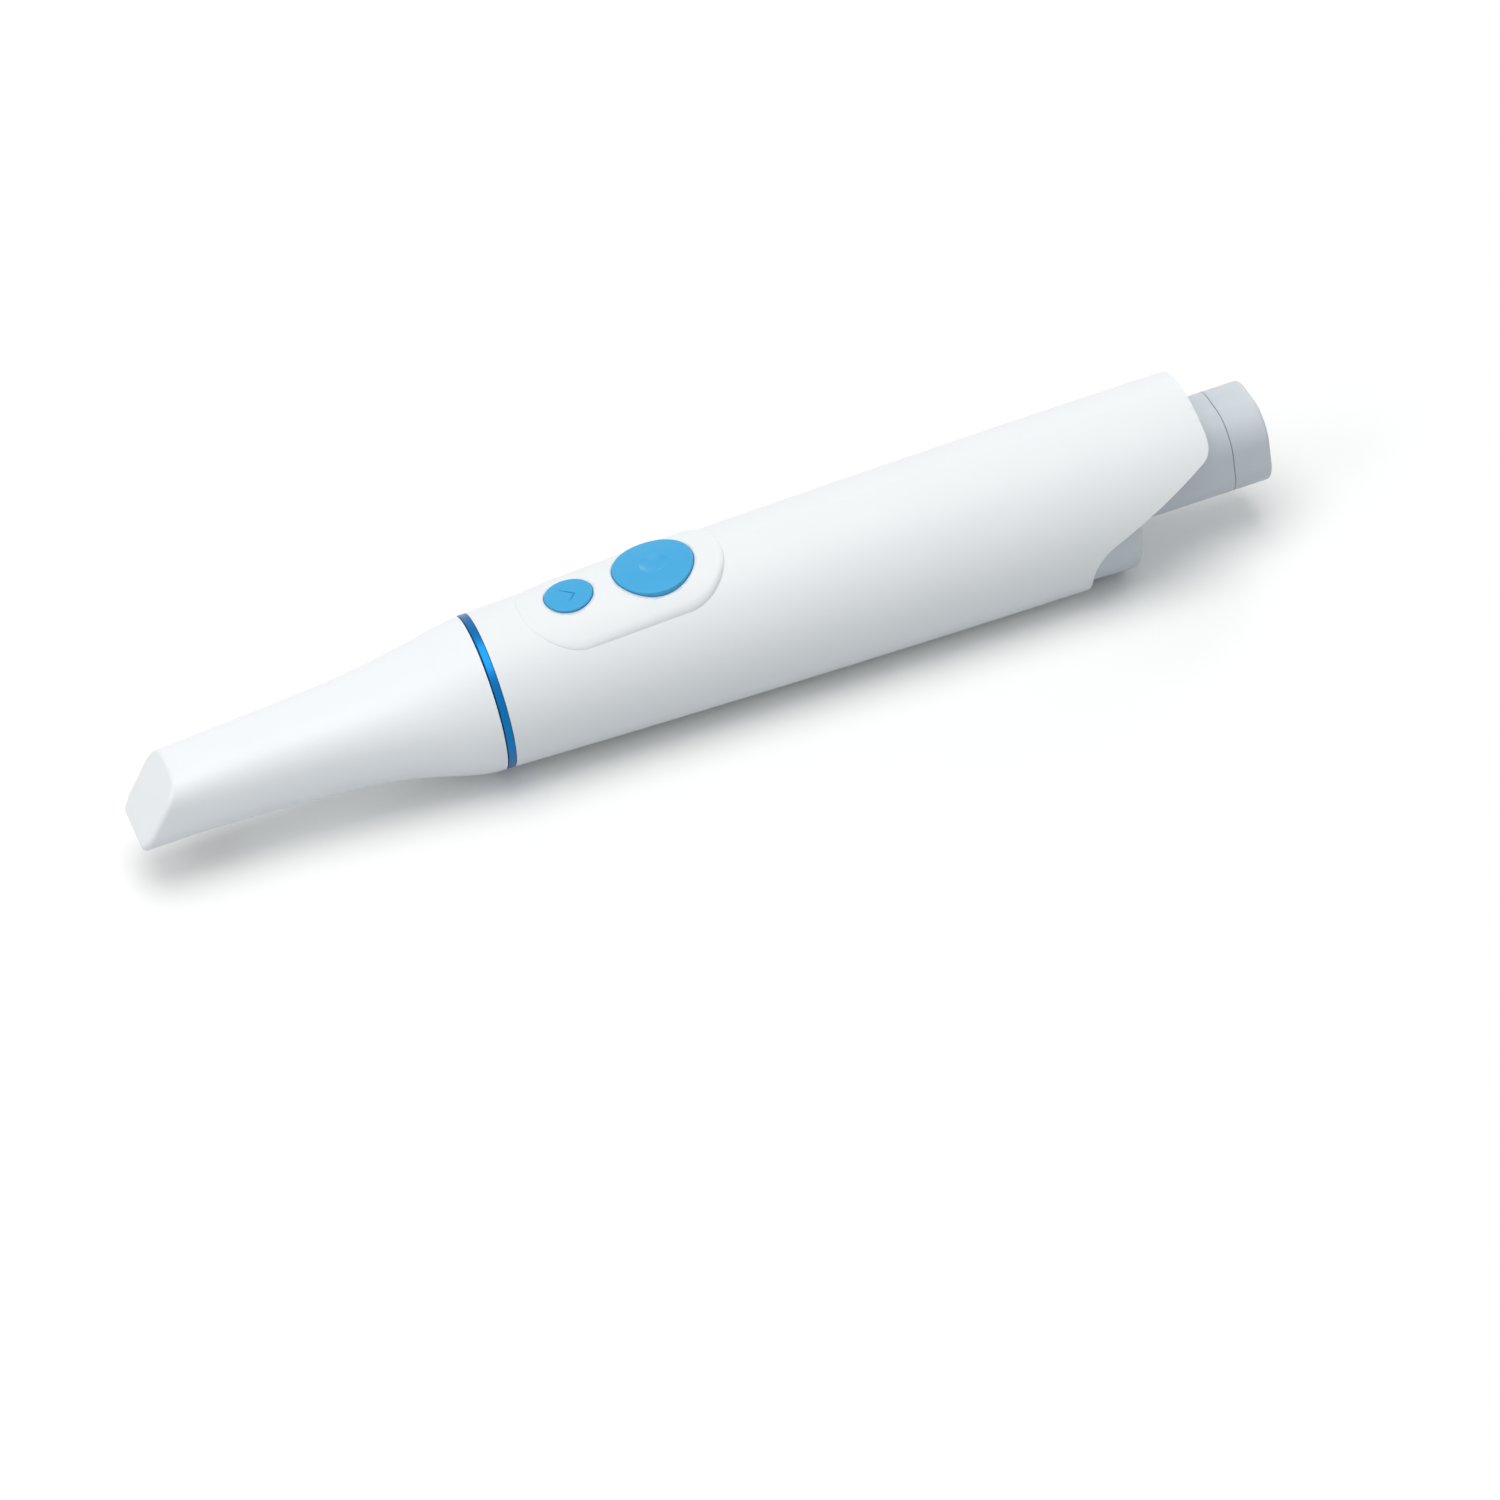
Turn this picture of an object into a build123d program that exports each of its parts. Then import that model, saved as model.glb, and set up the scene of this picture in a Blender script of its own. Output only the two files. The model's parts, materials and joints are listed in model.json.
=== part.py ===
from build123d import *
import math
import os

# Wireless intraoral scanner, in millimetres.
# +X points to the rear (battery), +Z up (keys). The origin is the middle of the flat under the body.
# Heights in the comments are above the body's long axis unless they say otherwise.

os.makedirs("parts", exist_ok=True)

# Body curve: the radius of the white body along its length is one long arc
axis_height = 21.2
curve_peak_x = 70.6
curve_peak_radius = 22.65
curve_radius = 5370.0
housing_front_x = -115.8
hood_end_x = 66.6
wall = 1.7
fit = 0.1

# Slanted rear edge of the housing, seen from the side
slant_top_z = 14.2
slant_bottom_x = 32.0
slant_bottom_z = -3.3
slant_top_round = 5.0
slant_bottom_round = 11.0

# Ring between the tip and the housing
ring_width = 2.0
ring_step = 0.05
ring_bevel = 0.2

# Tip sleeve: each section is distance ahead of the ring, half width, top, bottom and squareness,
# the exponent of its outline: 2 is an ellipse, and a larger one has fuller corners
tip_sections = (
    (5.1, 18.7, 18.4, 18.8, 2.05),
    (16.5, 16.6, 15.8, 15.1, 2.15),
    (32.2, 13.9, 13.1, 11.4, 2.4),
    (48.0, 12.3, 11.9, 10.3, 2.55),
    (71.2, 10.8, 10.3, 9.1, 2.9),
    (95.0, 10.4, 9.7, 8.5, 3.2),
)
outline_points = 24
tip_reach = 95.0
tip_gap = 0.3
tip_wall = 1.6
facet_top_ahead = 78.4
facet_top_z = 9.2
facet_lean = 54.2
facet_round = 1.3
chin_radius = 2.0
window_rear_ahead = 64.2
window_length = 18.5
window_width = 13.0
window_corner = 2.5
mirror_length = 12.4
mirror_width = 13.6
mirror_thickness = 1.1
mirror_corner = 2.5
mirror_down = 7.5

# Neck that the tip slides onto
neck_gap = 0.3
neck_wall = 1.5
neck_length = 28.2
neck_window_width = 18.0
neck_window_height = 12.0
neck_window_corner = 3.0
glass_lip = 1.2
glass_thickness = 1.2
collar_length = 13.8
bulkhead_thickness = 3.0
bulkhead_width = 26.6
bulkhead_height = 13.0

# Key pad, seen from above, and its flatter crown
pad_x = -79.4
pad_length = 51.0
pad_width = 28.6
pad_corner = 12.8
pad_raise_front = 0.3
pad_raise_rear = 1.15
pad_pocket = 0.8
pad_round = 0.4
crown_radius = 45.0
crown_z = 20.7
crown_slope = 2.2

# Keys
scan_key_x = -70.8
scan_key_radius = 10.0
mode_key_x = -92.4
mode_key_radius = 5.97
key_gap = 0.15
key_proud = 0.45
key_round = 0.35
key_plate = 1.3
key_skirt = 1.2
key_lip = 1.0
key_lip_thickness = 0.9
key_stem_radius = 1.6
key_travel = 0.5
dimple_radius = 3.55
dimple_depth = 0.8
chevron_arm = 5.0
chevron_foot = 2.5
chevron_turn = 45.0
chevron_corner_x = 1.45
chevron_corner_y = -0.75
chevron_width = 0.35
chevron_depth = 0.2

# Switch board under the keys
key_board_z = 12.0
board_thickness = 1.2
key_board_length = 42.0
key_board_width = 23.0
key_board_x = -80.0
key_post_stations = (-98.0, -84.0, -72.5)
key_post_y = 8.5
board_corner = 1.5
switch_side = 6.0
switch_height = 3.1
switch_corner = 0.4
plunger_radius = 1.7
plunger_proud = 0.7
plunger_depth = 1.4
running_gap = 0.05

# Optics block and the two lens barrels
barrel_spread = 7.0
barrel_radius = 5.5
barrel_bore = 4.3
barrel_length = 28.0
barrel_bevel = 0.3
barrel_front_ahead = 8.0
optics_length = 35.0
flange_thickness = 3.0
flange_radius = 16.3
flange_top_z = 11.8
optics_screw_y = 9.5
optics_screw_z = 10.2
optics_width = 27.0
optics_top_z = 8.5
optics_bottom_z = -8.0
tunnel_radius = 4.0
lens_thickness = 2.6
lens_bulge_radius = 14.0
lens_seat = 1.0
sensor_side = 5.4
emitter_side = 4.0
sensor_thickness = 1.0
mask_thickness = 0.8
mask_behind = 2.0
condenser_behind = 7.0
sink_base = 2.5
sink_length = 18.0
sink_fin = 1.0
sink_fins = 6

# Metal tray along the bottom of the housing
tray_thickness = 1.4
tray_top_z = -9.0
tray_rear_x = 25.5
post_radius = 2.2
tray_block = 5.2
tray_block_length = 8.0

# Main board
main_board_z = -11.8
main_board_front_x = -54.0
main_board_rear_x = 16.5
main_board_width = 26.0
main_post_inset = 5.0
main_post_spread = 9.0
board_chips = (
    # name, middles as distance behind the board's front edge and y, size along x, y and z
    ("flex_connectors", ((12.0, -6.0), (12.0, 6.0)), (4.0, 9.0, 1.6)),
    ("processor_chip", ((29.0, 0.0),), (16.0, 16.0, 1.8)),
    ("radio_module", ((49.0, 0.0),), (12.0, 16.0, 1.8)),
    ("radio_antenna", ((59.5, 0.0),), (2.2, 6.5, 1.2)),
)

# Rear frame and the battery bay
frame_front_x = 26.0
frame_rear_x = 45.8
frame_skirt = 1.6
frame_plate = 2.4
frame_edge_round = 1.0
bay_root_round = 2.2
bay_z = 2.9
bay_width = 23.0
bay_corner = 8.5
bay_wall = 1.2
bay_floor = 1.5
bay_rear_x = 73.9
boss_radius = 2.4
boss_spread = 11.0
boss_z = -14.0
frame_screw_sink = 1.2

# Battery pack
case_gap = 0.3
cell_radius = 9.15
cell_length = 63.0
cell_gap = 0.1
cell_nub = 0.8
case_end = 1.2
seam_gap = 0.22
gasket_thickness = 0.12
cap_end_x = 83.9
cap_round = 1.0
contact_count = 4
contact_pitch = 3.0
contact_radius = 0.6
contact_gap = 0.1
contact_pin_length = 4.5
contact_block_length = 2.5

# Screws
screw_radius = 0.8
screw_head_radius = 1.5
screw_head = 0.8
screw_length = 4.5
frame_screw_length = 24.0

# Larger than any cross-section, for cuts that run right through
beyond = 60.0

side_plane = Plane(origin=(0, 0, axis_height), x_dir=(1, 0, 0), z_dir=(0, -1, 0))
long_axis = Axis((0, 0, axis_height), (1, 0, 0))
ring_front_x = housing_front_x - ring_width


def cross_plane(x, z=0.0, y=0.0):
    """Plane across the body at station x, its own x along +Y and its own y along +Z."""
    return Plane(origin=(x, y, axis_height + z), x_dir=(0, 1, 0), z_dir=(1, 0, 0))


def level(z, x=0.0, y=0.0):
    """Horizontal plane at height z over the long axis."""
    return Plane(origin=(x, y, axis_height + z), x_dir=(1, 0, 0), z_dir=(0, 0, 1))


def body_radius(x):
    """Outer radius of the white body at station x."""
    reach = x - curve_peak_x
    return curve_peak_radius - curve_radius + math.sqrt(curve_radius**2 - reach**2)


def curve_points(x_start, x_end, inset):
    """Three points of the body curve, moved inwards by inset."""
    stations = (x_start, (x_start + x_end) / 2, x_end)
    return [(x, body_radius(x) - inset) for x in stations]


def turned(x_start, x_end, outer_inset, inner_inset):
    """Sleeve turned about the long axis between two copies of the body curve."""
    with BuildPart() as sleeve:
        with BuildSketch(side_plane):
            with BuildLine():
                outer = ThreePointArc(*curve_points(x_start, x_end, outer_inset))
                inner = ThreePointArc(*curve_points(x_start, x_end, inner_inset))
                Line(outer @ 0, inner @ 0)
                Line(outer @ 1, inner @ 1)
            make_face()
        revolve(axis=long_axis)
    return sleeve.part


def turned_core(x_start, x_end, inset):
    """Solid turned about the long axis inside the body curve."""
    with BuildPart() as core:
        with BuildSketch(side_plane):
            with BuildLine():
                outer = ThreePointArc(*curve_points(x_start, x_end, inset))
                Polyline(outer @ 0, (x_start, 0), (x_end, 0), outer @ 1)
            make_face()
        revolve(axis=long_axis)
    return core.part


def full_power(value, exponent):
    """Power of a number's size, with the number's own sign."""
    return math.copysign(abs(value) ** exponent, value)


def section_points(half_width, half_height, squareness):
    """Points of an outline between an ellipse and a rectangle."""
    turns = [2 * math.pi * step / outline_points for step in range(outline_points)]
    return [
        (
            half_width * full_power(math.cos(turn), 2 / squareness),
            half_height * full_power(math.sin(turn), 2 / squareness),
        )
        for turn in turns
    ]


def tip_form(inset, reach_ahead):
    """Loft of the tip's sections, each moved inwards by inset, from the ring to reach_ahead."""
    base = body_radius(ring_front_x)
    sections = ((0.0, base, base, base, 2.0),) + tip_sections
    with BuildPart() as form:
        for ahead, half_width, top, bottom, squareness in sections:
            with BuildSketch(cross_plane(ring_front_x - ahead, (top - bottom) / 2)):
                with BuildLine():
                    half_height = (top + bottom) / 2
                    points = section_points(half_width - inset, half_height - inset, squareness)
                    Spline(*points, periodic=True)
                make_face()
        loft()
        with BuildSketch(cross_plane(ring_front_x - reach_ahead)):
            Rectangle(2 * beyond, 2 * beyond)
        extrude(amount=-2 * beyond, mode=Mode.SUBTRACT)
    return form.part


def facet_plane(depth):
    """Plane of the slanted end of the tip, moved inwards by depth, facing out of the tip."""
    lean = math.radians(facet_lean)
    normal = (-math.sin(lean), 0, math.cos(lean))
    surface = Plane(
        origin=(ring_front_x - facet_top_ahead, 0, axis_height + facet_top_z),
        x_dir=(0, 1, 0),
        z_dir=normal,
    )
    return surface.offset(-depth)


def chin_plane(depth):
    """Plane that bevels the tip's lowest corner, moved inwards by depth."""
    half_lean = math.radians(facet_lean) / 2
    corner_z = -tip_sections[-1][3]
    corner_x = ring_front_x - facet_top_ahead - (facet_top_z - corner_z) / math.tan(2 * half_lean)
    reach = chin_radius / math.sin(half_lean)
    middle = Plane(
        origin=(
            corner_x + reach * math.cos(half_lean),
            0,
            axis_height + corner_z + reach * math.sin(half_lean),
        ),
        x_dir=(0, 1, 0),
        z_dir=(-math.cos(half_lean), 0, -math.sin(half_lean)),
    )
    return middle.offset(chin_radius - depth)


def pad_prism(grow):
    """Upright prism over the key pad's outline, larger all round by grow."""
    with BuildPart() as prism:
        with BuildSketch(level(0)):
            with Locations((pad_x, 0)):
                RectangleRounded(
                    pad_length + 2 * grow, pad_width + 2 * grow, pad_corner + grow
                )
        extrude(amount=beyond)
    return prism.part


def crown_roller(lift):
    """Long round bar whose top is the crown of the key pad, raised by lift."""
    slope = math.radians(crown_slope)
    across = Plane(
        origin=(pad_x, 0, axis_height + crown_z - crown_radius),
        x_dir=(0, 1, 0),
        z_dir=(math.cos(slope), 0, math.sin(slope)),
    )
    with BuildPart() as roller:
        with BuildSketch(across):
            Circle(crown_radius + lift)
        extrude(amount=beyond, both=True)
    return roller.part


def crown_height(x):
    """Height of the pad's crown over the long axis, in its middle plane at station x."""
    slope = math.radians(crown_slope)
    return crown_z - crown_radius + (crown_radius + (x - pad_x) * math.sin(slope)) / math.cos(slope)


def lip_top(x, radius):
    """Height at which a round lip of this radius would meet the housing's inside, less the key gap."""
    inside = min(body_radius(x - radius), body_radius(x + radius)) - wall
    return math.sqrt(inside**2 - radius**2) - key_gap


# White housing: one sleeve with the slanted rear edge, the pad's pocket and the key holes
housing_sleeve = turned(housing_front_x, hood_end_x + wall, 0, wall)
pocket_band = turned(housing_front_x, hood_end_x, -beyond / 10, pad_pocket)
pad_pocket_prism = pad_prism(fit)
keys = ((scan_key_x, scan_key_radius), (mode_key_x, mode_key_radius))

with BuildPart() as pocket:
    add(pad_pocket_prism)
    add(pocket_band, mode=Mode.INTERSECT)

with BuildPart() as main_housing:
    add(housing_sleeve)
    with BuildSketch(side_plane):
        with BuildLine():
            edge = FilletPolyline(
                (hood_end_x, beyond),
                (hood_end_x, slant_top_z),
                (slant_bottom_x, slant_bottom_z),
                (slant_bottom_x, -beyond),
                radius=(slant_top_round, slant_bottom_round),
            )
            Polyline(edge @ 1, (2 * beyond, -beyond), (2 * beyond, beyond), edge @ 0)
        make_face()
    extrude(amount=beyond, both=True, mode=Mode.SUBTRACT)
    with BuildSketch(Plane.XY):
        Rectangle(6 * beyond, 2 * beyond)
    extrude(amount=-beyond, mode=Mode.SUBTRACT)
    add(pocket.part, mode=Mode.SUBTRACT)
    for key_x, key_radius in keys:
        with BuildSketch(level(0)):
            with Locations((key_x, 0)):
                Circle(key_radius + key_gap)
        extrude(amount=beyond, mode=Mode.SUBTRACT)
main_housing.part.label = "main_housing"
export_step(main_housing.part, "parts/main_housing.step")

# Key pad: fills the pocket, stands proud of the body at its sides, and is flatter along its middle
pad_outline = pad_prism(0)
pad_front_x = pad_x - pad_length / 2
pad_rear_x = pad_x + pad_length / 2

with BuildPart() as pad_band:
    with BuildSketch(side_plane):
        with BuildLine():
            low_line = ThreePointArc(*curve_points(pad_front_x - 1, pad_rear_x + 1, pad_pocket))
            high_line = Line(
                (pad_front_x - 1, body_radius(pad_front_x - 1) + pad_raise_front),
                (pad_rear_x + 1, body_radius(pad_rear_x + 1) + pad_raise_rear),
            )
            Line(low_line @ 0, high_line @ 0)
            Line(low_line @ 1, high_line @ 1)
        make_face()
    revolve(axis=long_axis)

pad_crown = crown_roller(0)

with BuildPart() as keypad_cover:
    add(pad_outline)
    add(pad_band.part, mode=Mode.INTERSECT)
    add(pad_crown, mode=Mode.INTERSECT)
    pad_sides = keypad_cover.faces().filter_by(lambda face: abs(face.normal_at().Z) < 0.01)
    pad_tops = keypad_cover.faces().filter_by(lambda face: face.normal_at().Z > 0.1)
    fillet(pad_sides.edges() & pad_tops.edges(), pad_round)
    for key_x, key_radius in keys:
        with BuildSketch(level(0)):
            with Locations((key_x, 0)):
                Circle(key_radius + key_gap)
        extrude(amount=beyond, mode=Mode.SUBTRACT)
keypad_cover.part.label = "keypad_cover"
export_step(keypad_cover.part, "parts/keypad_cover.step")

# Keys: crowned cups with a lip inside the housing and a stem over the switch
key_crown = crown_roller(key_proud)
switch_top_z = key_board_z + board_thickness + switch_height
plunger_top_z = switch_top_z + plunger_proud


def key_cup(x, radius):
    """Crowned round key with its skirt, lip and stem."""
    lip_height = lip_top(x, radius + key_lip)
    with BuildPart() as cup:
        with BuildSketch(level(lip_height - key_lip_thickness)):
            with Locations((x, 0)):
                Circle(radius)
        extrude(amount=beyond)
        add(key_crown, mode=Mode.INTERSECT)
        fillet(cup.edges().group_by(Axis.Z)[-1], key_round)
        with BuildSketch(level(lip_height - key_lip_thickness)):
            with Locations((x, 0)):
                Circle(radius + key_lip)
        extrude(amount=key_lip_thickness)
        underside = crown_height(x) + key_proud - key_plate
        drop = radius**2 / (2 * crown_radius)
        with BuildSketch(level(lip_height - key_lip_thickness)):
            with Locations((x, 0)):
                Circle(radius - key_skirt)
        extrude(
            amount=underside - drop - lip_height + key_lip_thickness, mode=Mode.SUBTRACT
        )
        with BuildSketch(level(plunger_top_z + running_gap)):
            with Locations((x, 0)):
                Circle(key_stem_radius)
        extrude(amount=underside - plunger_top_z)
    return cup.part


scan_cup = key_cup(scan_key_x, scan_key_radius)
mode_cup = key_cup(mode_key_x, mode_key_radius)

with BuildPart() as scan_button:
    add(scan_cup)
    dimple_sphere = (dimple_radius**2 + dimple_depth**2) / (2 * dimple_depth)
    dimple_z = crown_height(scan_key_x) + key_proud - dimple_depth + dimple_sphere
    with Locations((scan_key_x, 0, axis_height + dimple_z)):
        Sphere(dimple_sphere, mode=Mode.SUBTRACT)
scan_button.part.label = "scan_button"
export_step(scan_button.part, "parts/scan_button.step")

with BuildPart() as mode_button:
    add(mode_cup)
    with BuildSketch(level(crown_height(mode_key_x) + key_proud - chevron_depth)):
        with Locations(Location((mode_key_x + chevron_corner_x, chevron_corner_y), chevron_turn)):
            with Locations((0, chevron_arm / 2)):
                SlotOverall(chevron_arm + chevron_width, chevron_width, rotation=90)
            with Locations((-chevron_foot / 2, 0)):
                SlotOverall(chevron_foot + chevron_width, chevron_width)
    extrude(amount=1, mode=Mode.SUBTRACT)
mode_button.part.label = "mode_button"
export_step(mode_button.part, "parts/mode_button.step")

# Removable tip: tapered hollow sleeve, slanted end, scan window in its underside, mirror inside
tip_outside = tip_form(0, tip_reach)
tip_cavity = tip_form(tip_wall, tip_reach)

with BuildPart() as cavity:
    add(tip_cavity)
    split(bisect_by=facet_plane(tip_wall), keep=Keep.BOTTOM)
    split(bisect_by=chin_plane(tip_wall), keep=Keep.BOTTOM)

with BuildPart() as tip_sleeve:
    add(tip_outside)
    split(bisect_by=facet_plane(0), keep=Keep.BOTTOM)
    split(bisect_by=chin_plane(0), keep=Keep.BOTTOM)
    end_faces = tip_sleeve.faces().filter_by(GeomType.PLANE).sort_by(Axis.X)[:2]
    fillet(end_faces.edges(), facet_round)
    add(cavity.part, mode=Mode.SUBTRACT)
    with BuildSketch(level(0)):
        with Locations((ring_front_x - window_rear_ahead - window_length / 2, 0)):
            RectangleRounded(window_length, window_width, window_corner)
    extrude(amount=-beyond, mode=Mode.SUBTRACT)
    with BuildSketch(cross_plane(ring_front_x - tip_gap)):
        Circle(beyond)
    extrude(amount=beyond, mode=Mode.SUBTRACT)
tip_sleeve.part.label = "tip_sleeve"
export_step(tip_sleeve.part, "parts/tip_sleeve.step")

with BuildPart() as tip_mirror:
    with BuildSketch(facet_plane(tip_wall + fit)):
        with Locations((0, mirror_down)):
            RectangleRounded(mirror_width, mirror_length, mirror_corner)
    extrude(amount=-mirror_thickness)
tip_mirror.part.label = "tip_mirror"
export_step(tip_mirror.part, "parts/tip_mirror.step")

# Neck: the tip slides onto its front, its collar fills the front of the housing
neck_inset = tip_wall + neck_gap
neck_outside = tip_form(neck_inset, neck_length)
neck_hollow = tip_form(neck_inset + neck_wall, neck_length - glass_lip - glass_thickness)
collar_rear_x = ring_front_x + collar_length
collar_inset = wall + fit
collar_tube = turned(ring_front_x, collar_rear_x, collar_inset, collar_inset + neck_wall)
bulkhead_front_x = collar_rear_x - bulkhead_thickness
bulkhead_disc = turned_core(bulkhead_front_x, collar_rear_x, collar_inset)
optics_screw_places = [(y * optics_screw_y, z * optics_screw_z) for y in (-1, 1) for z in (-1, 1)]

with BuildPart() as nose_tube:
    add(neck_outside)
    add(neck_hollow, mode=Mode.SUBTRACT)
    add(collar_tube)
    add(bulkhead_disc)
    with BuildSketch(cross_plane(bulkhead_front_x)):
        RectangleRounded(bulkhead_width, bulkhead_height, neck_window_corner)
        with Locations(*optics_screw_places):
            Circle(screw_radius + running_gap)
    extrude(amount=bulkhead_thickness, mode=Mode.SUBTRACT)
    with BuildSketch(cross_plane(ring_front_x - neck_length)):
        RectangleRounded(neck_window_width, neck_window_height, neck_window_corner)
    extrude(amount=neck_length / 2, mode=Mode.SUBTRACT)
    with BuildSketch(cross_plane(ring_front_x - neck_length)):
        RectangleRounded(
            neck_window_width + 2 * glass_lip,
            neck_window_height + 2 * glass_lip,
            neck_window_corner + glass_lip,
        )
    extrude(amount=glass_thickness, mode=Mode.SUBTRACT)
nose_tube.part.label = "nose_tube"
export_step(nose_tube.part, "parts/nose_tube.step")

with BuildPart() as front_window:
    with BuildSketch(cross_plane(ring_front_x - neck_length)):
        RectangleRounded(
            neck_window_width + 2 * (glass_lip - fit),
            neck_window_height + 2 * (glass_lip - fit),
            neck_window_corner + glass_lip - fit,
        )
    extrude(amount=glass_thickness)
front_window.part.label = "front_window"
export_step(front_window.part, "parts/front_window.step")

# Blue ring round the collar, between the tip and the housing
with BuildPart() as trim_ring:
    with BuildSketch(cross_plane(ring_front_x)):
        Circle(body_radius(ring_front_x) + ring_step)
        Circle(body_radius(ring_front_x) - collar_inset + fit, mode=Mode.SUBTRACT)
    extrude(amount=ring_width)
    chamfer(trim_ring.edges().filter_by(GeomType.CIRCLE).sort_by(SortBy.RADIUS)[-2:], ring_bevel)
trim_ring.part.label = "trim_ring"
export_step(trim_ring.part, "parts/trim_ring.step")

# Optics block: a flange on the collar's bulkhead, two bores for the barrels, posts for the key board
barrel_front_x = collar_rear_x - barrel_front_ahead
barrel_rear_x = barrel_front_x + barrel_length
optics_rear_x = collar_rear_x + optics_length
barrel_sides = (-barrel_spread, barrel_spread)
post_height = key_board_z - optics_top_z
key_screw_places = [(x, y * key_post_y) for x in key_post_stations[:2] for y in (-1, 1)]
key_post_places = [(x, y * key_post_y) for x in key_post_stations for y in (-1, 1)]

with BuildPart() as optics_frame:
    with BuildSketch(cross_plane(collar_rear_x)):
        Circle(flange_radius)
        with Locations((0, flange_top_z + beyond / 2)):
            Rectangle(beyond, beyond, mode=Mode.SUBTRACT)
        with Locations(*optics_screw_places):
            Circle(screw_radius + running_gap, mode=Mode.SUBTRACT)
    extrude(amount=flange_thickness)
    with BuildSketch(cross_plane(collar_rear_x + flange_thickness, (optics_top_z + optics_bottom_z) / 2)):
        Rectangle(optics_width, optics_top_z - optics_bottom_z)
    extrude(amount=optics_length - flange_thickness)
    with BuildSketch(level(optics_top_z)):
        with Locations(*key_post_places):
            Circle(post_radius)
    extrude(amount=post_height)
    with BuildSketch(level(key_board_z)):
        with Locations(*key_screw_places):
            Circle(screw_radius + running_gap)
    extrude(amount=-screw_length, mode=Mode.SUBTRACT)
    with BuildSketch(cross_plane(collar_rear_x)):
        with Locations(*[(y, 0) for y in barrel_sides]):
            Circle(barrel_radius + running_gap)
    extrude(amount=barrel_rear_x - collar_rear_x, mode=Mode.SUBTRACT)
    with BuildSketch(cross_plane(barrel_rear_x)):
        with Locations(*[(y, 0) for y in barrel_sides]):
            Circle(tunnel_radius)
    extrude(amount=optics_rear_x - barrel_rear_x, mode=Mode.SUBTRACT)
optics_frame.part.label = "optics_frame"
export_step(optics_frame.part, "parts/optics_frame.step")


def lens_disc(x, y, radius):
    """Lens with two bulging faces, its middle at station x."""
    sag = lens_bulge_radius - math.sqrt(lens_bulge_radius**2 - radius**2)
    half = lens_thickness / 2
    with BuildPart() as lens:
        with BuildSketch(Plane(origin=(x, y, axis_height), x_dir=(1, 0, 0), z_dir=(0, -1, 0))):
            with BuildLine():
                front = RadiusArc((-half, 0), (sag - half, radius), lens_bulge_radius)
                back = RadiusArc((half - sag, radius), (half, 0), lens_bulge_radius)
                Line(front @ 1, back @ 0)
                Line(back @ 1, front @ 0)
            make_face()
        revolve(axis=Axis((x, y, axis_height), (1, 0, 0)))
    return lens.part


barrel_names = ("camera", "projector")
for side, name in zip(barrel_sides, barrel_names):
    with BuildPart() as barrel:
        with BuildSketch(cross_plane(barrel_front_x)):
            with Locations((side, 0)):
                Circle(barrel_radius)
                Circle(barrel_bore, mode=Mode.SUBTRACT)
        extrude(amount=barrel_length)
        chamfer(barrel.edges().filter_by(GeomType.CIRCLE).group_by(Axis.X)[0][0], barrel_bevel)
    barrel.part.label = name + "_barrel"
    export_step(barrel.part, "parts/" + name + "_barrel.step")

front_lens_x = barrel_front_x + lens_seat + lens_thickness / 2
rear_lens_x = barrel_rear_x - lens_seat - lens_thickness / 2
lens_places = (
    ("camera_front_lens", front_lens_x, -barrel_spread, barrel_bore - fit),
    ("camera_rear_lens", rear_lens_x, -barrel_spread, barrel_bore - fit),
    ("projector_lens", front_lens_x, barrel_spread, barrel_bore - fit),
    ("condenser_lens", barrel_rear_x + condenser_behind, barrel_spread, tunnel_radius - fit),
)
for name, x, y, radius in lens_places:
    lens_solid = lens_disc(x, y, radius)
    lens_solid.label = name
    export_step(lens_solid, "parts/" + name + ".step")

with BuildPart() as pattern_mask:
    with BuildSketch(cross_plane(barrel_rear_x + mask_behind)):
        with Locations((barrel_spread, 0)):
            Circle(tunnel_radius - fit)
    extrude(amount=mask_thickness)
pattern_mask.part.label = "pattern_mask"
export_step(pattern_mask.part, "parts/pattern_mask.step")

# Boards on the rear of the optics block, with the sensor and the lamp inside the tunnels
half_width = optics_width / 2
optics_boards = (
    ("camera_board", -half_width / 2 - running_gap, "image_sensor", sensor_side),
    ("light_board", half_width / 2 + running_gap, "light_emitter", emitter_side),
)
for (board_name, board_y, chip_name, chip_side), chip_y in zip(optics_boards, barrel_sides):
    with BuildPart() as board:
        with BuildSketch(cross_plane(optics_rear_x, (optics_top_z + optics_bottom_z) / 2)):
            with Locations((board_y, 0)):
                Rectangle(half_width - 4 * running_gap, optics_top_z - optics_bottom_z)
        extrude(amount=board_thickness)
    board.part.label = board_name
    export_step(board.part, "parts/" + board_name + ".step")
    with BuildPart() as chip:
        with BuildSketch(cross_plane(optics_rear_x)):
            with Locations((chip_y, 0)):
                Rectangle(chip_side, chip_side)
        extrude(amount=-sensor_thickness)
    chip.part.label = chip_name
    export_step(chip.part, "parts/" + chip_name + ".step")

# Finned heat sink on the back of the light board
sink_x = optics_rear_x + board_thickness
sink_pitch = (half_width - 4 * running_gap - sink_fin) / (sink_fins - 1)
with BuildPart() as heat_sink:
    with BuildSketch(cross_plane(sink_x, (optics_top_z + optics_bottom_z) / 2)):
        with Locations((half_width / 2 + running_gap, 0)):
            Rectangle(half_width - 4 * running_gap, optics_top_z - optics_bottom_z)
    extrude(amount=sink_base)
    with BuildSketch(cross_plane(sink_x + sink_base, (optics_top_z + optics_bottom_z) / 2)):
        with Locations((half_width / 2 + running_gap, 0)):
            with GridLocations(sink_pitch, 1, sink_fins, 1):
                Rectangle(sink_fin, optics_top_z - optics_bottom_z)
    extrude(amount=sink_length - sink_base)
heat_sink.part.label = "heat_sink"
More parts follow.
